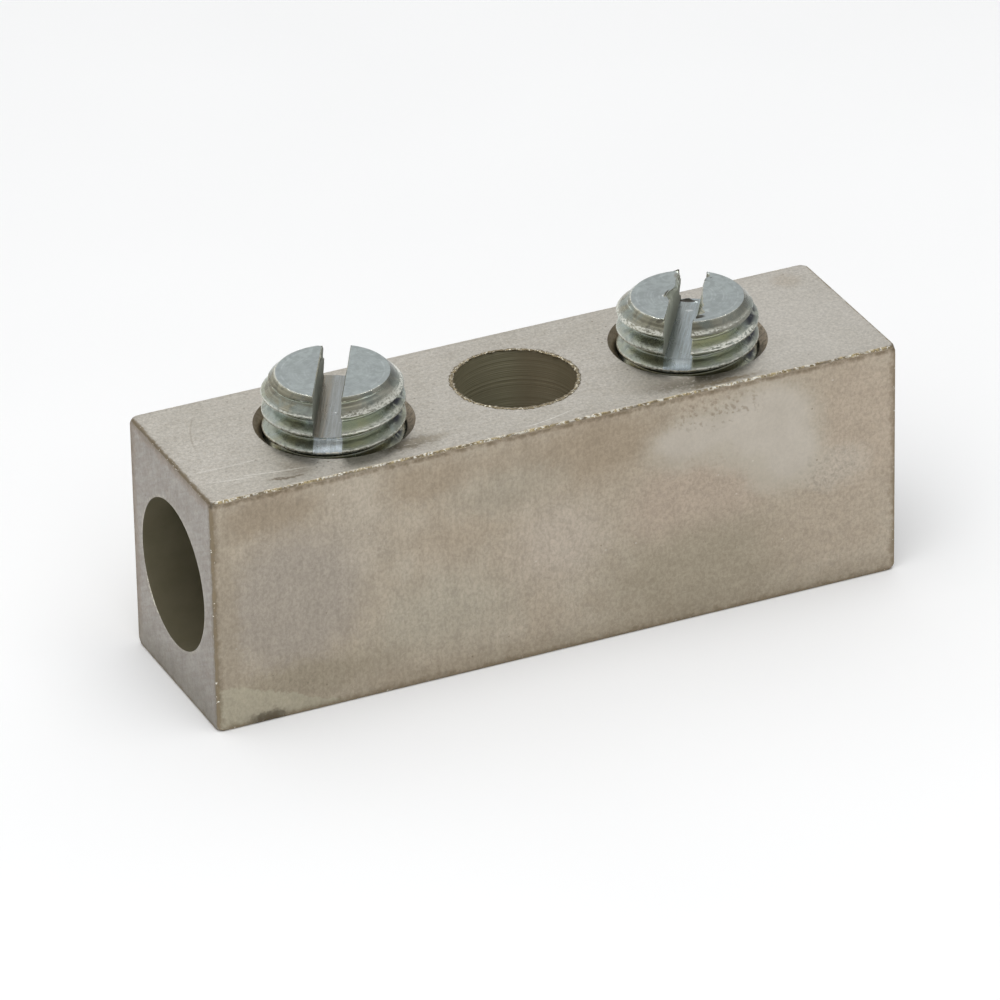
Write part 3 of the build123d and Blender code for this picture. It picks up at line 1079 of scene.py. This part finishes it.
# painted shade: the chamfer darkens at the far right, where it turns away
dark_start = graph.times(graph.fade(own_x, 2.0, 5.0, 0.0, 0.7), graph.fade(under, -0.85, -0.25))
cone_colour = graph.layers(
    rgb(138, 132, 112),
    (graph.fade(rings, 0.3, 0.7), rgb(190, 186, 164)),
    # painted light: the chamfer is lighter towards the right
    (graph.fade(own_x, -2.0, 2.0, 0.0, 0.75), rgb(220, 218, 204)),
    (graph.fade(film, 0.45, 0.62), rgb(160, 166, 156)),
    (dark_start, rgb(78, 80, 74)),
)
top_colour = graph.layers(
    rgb(171, 178, 178),
    (graph.fade(film, 0.35, 0.65), rgb(178, 186, 185)),
    (graph.times(graph.fade(rings, 0.5, 0.75), 0.55), rgb(198, 205, 205)),
    (graph.fade(blotch, 0.42, 0.62, 0.0, 0.75), rgb(158, 165, 164)),
)

dull = graph.noise(place, 0.75, 3.0, 0.6, 0.8)
# painted shade: darker patches in the valleys, strongest on the right flank, fainter on the left
to_right = graph.times(
    graph.fade(own_x, 3.4, 5.4),
    graph.fade(dull, 0.36, 0.48, 0.15, 1.0),
    graph.fade(crest_distance, 0.25, 0.60, 0.35, 1.0),
    graph.total(1.0, (on_cone, -0.7)),
)
to_left = graph.times(graph.fade(own_x, -3.0, -5.0), graph.fade(dull, 0.46, 0.70, 0.0, 0.35))
flank_shade = graph.times(graph.math("MAXIMUM", to_right, to_left), graph.minus(1.0, level))
colour = graph.layers(
    side_colour,
    (graph.times(on_cone, 0.85), cone_colour),
    (level, top_colour),
    (graph.times(flank_shade, 0.96), rgb(40, 40, 52)),
)
print("nodes so far", len(zinc.node_tree.nodes))

# %% [markdown]
# The saw left lengthwise streaks on the floor of the slot, which is brownish along its left side. The walls are
# darker and streaked downwards, and painted darker deeper in the cut, as shade. Where the cut meets the thread, under
# the floor, the metal is painted bright as a reflection of the white floor. The right screw was turned with a driver
# that slipped, so it has nicks, a burr and scuffs of its own; among its marks are a painted shadow line at the far end
# of the floor and painted highlights on the burr and on a chip.

# %% The slot and its marks
along_streaks = graph.noise(graph.vector("MULTIPLY", slot_place, (5.0, 0.22, 1.0)), 1.0, 3.0, 0.6)
down_streaks = graph.noise(graph.vector("MULTIPLY", slot_place, (1.0, 2.2, 0.35)), 1.0, 3.0, 0.6)
floor_colour = graph.layers(
    rgb(136, 129, 110),
    (graph.fade(across, -0.75, -0.15), rgb(162, 174, 180)),
    (graph.times(on_right, 0.7), rgb(158, 168, 172)),
    (graph.fade(along_streaks, 0.4, 0.6, 0.0, 0.7), rgb(132, 135, 128)),
)
wall_colour = graph.layers(
    rgb(112, 116, 104),
    (graph.fade(down_streaks, 0.35, 0.65), rgb(152, 154, 142)),
    (graph.total(0.25, (on_right, 0.45)), rgb(212, 216, 202)),
    # painted shade: the slot's walls darken deeper in the cut
    (graph.fade(under, -0.6, -3.6, 0.0, 0.35), rgb(66, 62, 52)),
)
# painted reflection: the mouth is bright where it mirrors the white floor
mouth_floor_reflection = graph.layers(
    rgb(186, 178, 168),
    (graph.fade(under, -4.55, -4.85), rgb(232, 242, 248)),
    (graph.times(on_right, 0.8), rgb(206, 218, 222)),
    (graph.fade(along_streaks, 0.45, 0.65, 0.0, 0.4), rgb(168, 178, 176)),
)
colour = graph.layers(colour, (slot_floor, floor_colour), (slot_wall, wall_colour), (mouth, mouth_floor_reflection))

nicks_and_shadow_line = 0.0
for middle, size, looks, strength in (
    # on the right screw: (u, v, height from the top), half sizes, how it looks, strength
    ((-1.95, 0.55, -0.5), (0.32, 0.85, 0.9), (70, 64, 54), 0.85),
    # painted shadow: the dark line at the far end of the slot's floor
    ((-0.8, 7.2, -4.3), (1.1, 0.26, 0.5), (62, 56, 48), 0.95),
    ((1.90, -4.75, -0.25), (0.80, 0.46, 0.70), (62, 60, 52), 0.95),
    ((-2.1, -6.15, -0.1), (0.50, 0.26, 0.4), (84, 80, 68), 0.9),
    ((-1.75, 4.9, -0.7), (0.30, 0.9, 0.8), (118, 104, 84), 0.8),
    ((2.2, 4.7, 0.0), (0.16, 0.14, 0.3), (110, 112, 108), 0.8),
    ((1.6, 4.0, 0.0), (0.14, 0.14, 0.3), (104, 104, 98), 0.8),
    ((1.55, 5.4, -0.3), (0.35, 0.5, 0.5), (112, 108, 96), 0.7),
    # painted highlight on the raised burr at the chewed corner
    ((-2.40, -0.25, 0.0), (0.16, 0.22, 0.3), (250, 250, 246), 0.9),
    # painted highlight on a raised chip on the slot's floor
    ((-0.3, 4.9, -4.3), (0.45, 0.22, 0.3), (226, 230, 230), 0.6),
    ((-1.75, 6.05, 0.0), (0.40, 0.35, 0.45), (104, 102, 94), 0.9),
):
    mark = graph.times(stain_mask(slot_place, middle, size, 0.3, 0.25), on_right, strength)
    colour = graph.mix(mark, colour, rgb(*looks))
    # The dark ones are torn metal, except the second row, which is a painted shadow line.
    if looks[0] < 120:  # the dark ones are torn metal
        nicks_and_shadow_line = graph.math("MAXIMUM", nicks_and_shadow_line, mark)
print("nodes so far", len(zinc.node_tree.nodes))

# %% [markdown]
# The crests of the thread, the corners of the slot and the rim of the flat end are near-white in patches: partly
# rubbed metal and partly painted highlight. On the front of a screw a painted highlight reaches further up from the
# crest, onto the upper flank.

# %% The bright crests
rub = graph.noise(graph.vector("MULTIPLY", place, (1.0, 1.0, 2.4)), 2.2, 3.0, 0.72)
off_cut = graph.minus(1.0, in_cut)
threaded = graph.times(graph.fade(from_centre, 6.9, 7.2), off_cut)
# painted highlight: a bright band on the upper flank above the crest, on the front of each screw
upper_flank_highlight = graph.times(
    graph.fade(crest_away, -0.05, 0.05),
    graph.fade(crest_away, 0.52, 0.28),
    graph.fade(own_x, -3.0, 0.5, 0.2, 1.0),
    graph.fade(own_x, 6.2, 4.8),
    graph.total(0.6, (on_right, 0.4)),
    graph.fade(under, -4.9, -4.2),
    graph.fade(rub, 0.42, 0.50),
)
crest_line = graph.times(graph.fade(crest_distance, 0.26, 0.14), graph.fade(rub, 0.36, 0.58, 0.05, 0.85))
crest = graph.times(graph.math("MAXIMUM", crest_line, upper_flank_highlight), threaded, graph.minus(1.0, mouth))
by_slot = graph.times(
    graph.fade(off_middle, slot_half_width + 0.24, slot_half_width + 0.05),
    graph.fade(face_z, 0.5, 0.3),
    graph.fade(rub, 0.5, 0.58),
    off_cut,
)
rim = graph.times(
    graph.fade(from_centre, face_radius - 0.10, face_radius - 0.02),
    graph.fade(under, -0.12, -0.05),
    graph.fade(rub, 0.4, 0.6, 0.2, 1.0),
    graph.fade(own_x, 4.2, 2.2),
)
# rubbed metal and painted highlight: near-white crests, slot corners and rim
rub_and_glint = graph.math("MAXIMUM", graph.math("MAXIMUM", crest, by_slot), rim)
rub_and_glint = graph.times(rub_and_glint, graph.minus(1.0, nicks_and_shadow_line))
stain_spots = graph.effect(pits, Place=place, Spacing=1.3, Size=0.10, Share=0.2)["Mask"]
colour = graph.layers(
    colour,
    (rub_and_glint, rgb(246, 246, 234)),
    (graph.times(spots["Tone"], 0.08), rgb(120, 124, 116)),
    (graph.times(stain_spots, 0.4), rgb(92, 88, 74)),
)
print("nodes so far", len(zinc.node_tree.nodes))

# %% [markdown]
# The walls of the slot are seen at a glancing angle, where clean metal would mirror the bright room, so they are rough
# and only partly metallic, and so are the nicks and the painted shadow line. The near-white crests, rubbed metal and
# painted highlight, are a little less metallic too: they then also catch the light of the soft box, which mirror
# rays don't see.

# %% Relief and roughness of the screws
ring_depth = graph.math("ADD", graph.times(on_cone, 0.020), graph.times(level, 0.0020))
height = graph.total(
    graph.times(rings, ring_depth),
    (spots["Height"], 0.004),
    (graph.times(rub, threaded), 0.02),
    (graph.times(along_streaks, slot_floor), 0.02),
    (graph.times(down_streaks, slot_wall), 0.012),
)
roughness = graph.total(
    0.20, (film, 0.12), (level, 0.06), (rub_and_glint, -0.08), (slot_wall, 0.5), (flank_shade, 0.06), (nicks_and_shadow_line, 0.4)
)
left_mouth = graph.times(mouth, graph.minus(1.0, on_right))
crest_rub_and_glint = graph.times(rub_and_glint, threaded)
metallic = graph.total(1.0, (slot_wall, -0.6), (nicks_and_shadow_line, -0.4), (left_mouth, -0.26), (crest_rub_and_glint, -0.4))
graph.finish(shader, Base_Color=colour, Roughness=roughness, Metallic=metallic, Normal=graph.bump(height))

for piece, node, body in (
    (left_screw, "left_set_screw", "left_screw"),
    (right_screw, "right_set_screw", "right_screw"),
):
    piece.data.materials.append(zinc)
    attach(piece, body)
    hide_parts(node)
print("zinc nodes", len(zinc.node_tree.nodes))

# %% [markdown]
# ## The floor's finish
# The floor is plain, so that it lights the metal evenly. A trace of noise in its colour and roughness keeps it from
# looking like a flat fill.

# %% The floor material
paper, graph, shader, place = new_material("pale_floor")
grain = graph.noise(place, 0.02, 1.0, 0.6)
colour = graph.mix(grain, rgb(243, 243, 243), rgb(247, 247, 247))
graph.finish(shader, Base_Color=colour, Roughness=graph.total(0.8, (grain, 0.1)), Specular_IOR_Level=0.2)
floor.data.materials.append(paper)
print("floor nodes", len(paper.node_tree.nodes))

# %% [markdown]
# ## Finish
